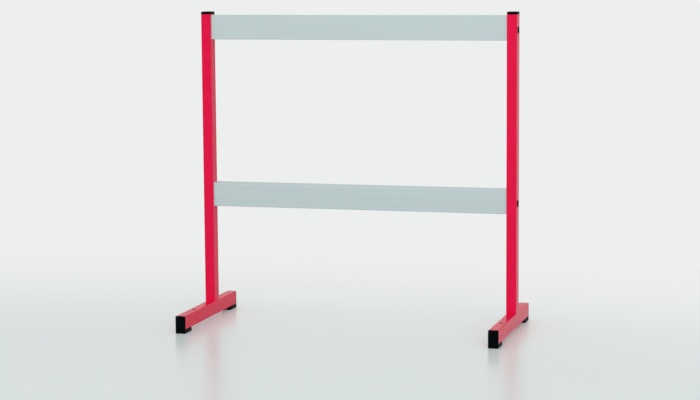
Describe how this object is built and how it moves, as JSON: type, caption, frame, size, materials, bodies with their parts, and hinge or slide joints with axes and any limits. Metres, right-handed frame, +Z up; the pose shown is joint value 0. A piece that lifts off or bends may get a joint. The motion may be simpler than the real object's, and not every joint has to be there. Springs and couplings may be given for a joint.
{
  "type": "agility hurdle",
  "caption": "Free-standing dog agility hurdle: T-shaped red steel end frames on black glide pads, joined by horizontal hollow aluminium boards.",
  "frame": {"origin": "on the floor, in the middle of the hurdle's width and of its feet's length", "axes": "+X along the boards, +Z up; the longer toes of the feet, and the face seen in the picture, point to -Y"},
  "size_m": [1.284, 0.61, 1.24],
  "materials": {
    "red_powder_coat": "semi-gloss powder coat",
    "board_aluminium": "satin, fine lines along the board",
    "black_plastic": "satin moulded",
    "zinc_plated_steel": "zinc plated"
  },
  "bodies": {
    "root": {"left_upright": "red_powder_coat", "left_foot": "red_powder_coat", "left_weld_beads": "red_powder_coat", "left_weld_shoulders": "red_powder_coat", "left_upright_cap": "black_plastic", "left_foot_front_cap": "black_plastic", "left_foot_rear_cap": "black_plastic", "left_upper_plug": "black_plastic", "left_upper_bolt": "zinc_plated_steel", "left_upper_washer": "zinc_plated_steel", "left_lower_plug": "black_plastic", "left_lower_bolt": "zinc_plated_steel", "left_lower_washer": "zinc_plated_steel", "right_upright": "red_powder_coat", "right_foot": "red_powder_coat", "right_weld_beads": "red_powder_coat", "right_weld_shoulders": "red_powder_coat", "right_upright_cap": "black_plastic", "right_foot_front_cap": "black_plastic", "right_foot_rear_cap": "black_plastic", "right_upper_plug": "black_plastic", "right_upper_bolt": "zinc_plated_steel", "right_upper_washer": "zinc_plated_steel", "right_lower_plug": "black_plastic", "right_lower_bolt": "zinc_plated_steel", "right_lower_washer": "zinc_plated_steel", "upper_board": "board_aluminium", "lower_board": "board_aluminium"}
  },
  "joints": []
}
